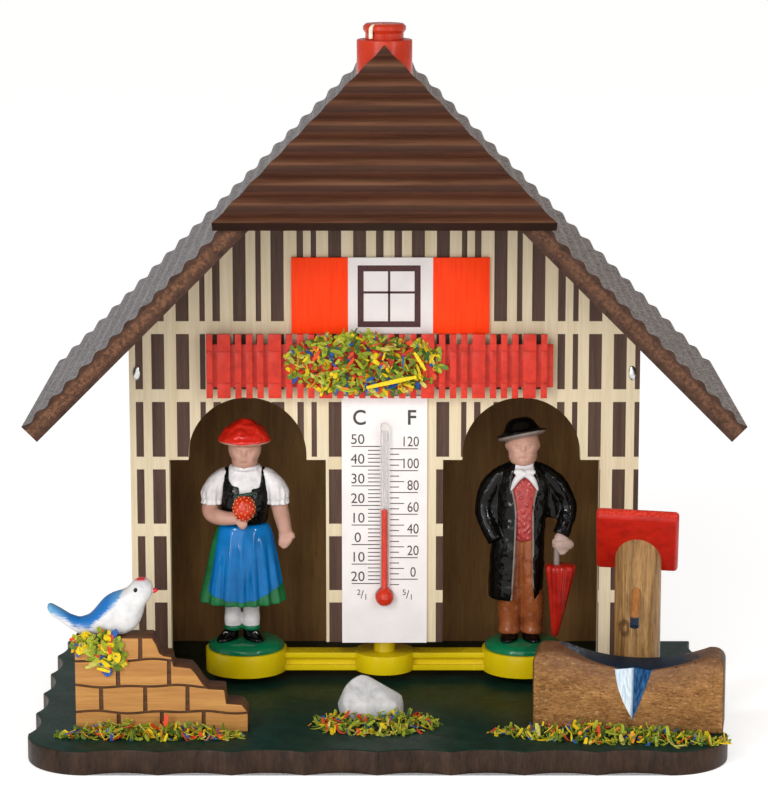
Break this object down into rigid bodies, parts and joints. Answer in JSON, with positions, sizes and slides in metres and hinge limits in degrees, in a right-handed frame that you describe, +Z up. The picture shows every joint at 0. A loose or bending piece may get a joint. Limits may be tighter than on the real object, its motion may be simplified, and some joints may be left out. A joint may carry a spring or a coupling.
{
  "type": "weather house",
  "caption": "Wooden weather house whose costumed figures swing in and out of arched doorways on a gut string hung from an adjustable chimney, with a thermometer between the doors.",
  "frame": {"origin": "middle of the bounding box, on the underside of the base board", "axes": "+X to the viewer's right, +Y to the back, +Z up"},
  "size_m": [0.1498, 0.089, 0.1506],
  "materials": {
    "green_board": "matt green paint with stained scalloped edge",
    "printed_wood": "pale wood printed with brown timber framing",
    "stained_wood": "brown stain",
    "hardboard": "bare brown hardboard",
    "grey_roof": "grey mineral grain",
    "brown_roof": "brown stained wave board",
    "red_plastic": "moulded red",
    "gut": "dried gut",
    "yellow_plastic": "moulded yellow",
    "woman_paint": "hand painted moulding",
    "man_paint": "hand painted moulding",
    "printed_card": "white card with printed scale",
    "glass": "clear",
    "spirit": "red spirit",
    "shutter_card": "red paint",
    "rail_plastic": "moulded dark red",
    "flock": "coloured shavings",
    "brick_wood": "engraved pale wood",
    "bird_paint": "white and blue paint",
    "quartz": "milky quartz",
    "trough_wood": "brown stained, blue painted groove",
    "dowel_wood": "oiled dowel",
    "red_paint": "red paint",
    "steel": "bright steel"
  },
  "bodies": {
    "house": {"base_plate": "green_board", "front_wall": "printed_wood", "side_wall_left": "stained_wood", "side_wall_right": "stained_wood", "back_panel": "hardboard", "roof_left": "grey_roof", "roof_right": "grey_roof", "gable_hip": "brown_roof", "chimney_stack": "red_plastic", "thermometer_card": "printed_card", "thermometer_tube": "glass", "spirit_column": "spirit", "window_card": "printed_card", "shutter_left": "shutter_card", "shutter_right": "shutter_card", "balcony_rail": "rail_plastic", "balcony_flowers": "flock", "garden_wall": "brick_wood", "bird": "bird_paint", "wall_top_flowers": "flock", "wall_foot_flowers": "flock", "quartz_stone": "quartz", "stone_flowers": "flock", "water_trough": "trough_wood", "pump_post": "dowel_wood", "pump_board": "red_paint", "spout_peg": "dowel_wood", "trough_flowers": "flock", "wall_nails": "steel", "back_nails": "steel"},
    "adjuster": {"adjuster_knob": "red_plastic", "gut_string": "gut"},
    "carrier": {"figure_carrier": "yellow_plastic", "woman_figure": "woman_paint", "man_figure": "man_paint"}
  },
  "joints": [
    {"name": "adjuster_turn", "type": "hinge", "parent": "house", "child": "adjuster", "pos_m": [0, 0.0115, 0], "axis": [0, 0, 1], "range_deg": [-12, 12]},
    {"name": "figure_swing", "type": "hinge", "parent": "adjuster", "child": "carrier", "pos_m": [0, 0.0115, 0], "axis": [0, 0, 1], "range_deg": [-22, 22], "stiffness_Nm_per_rad": 0.0006}
  ]
}
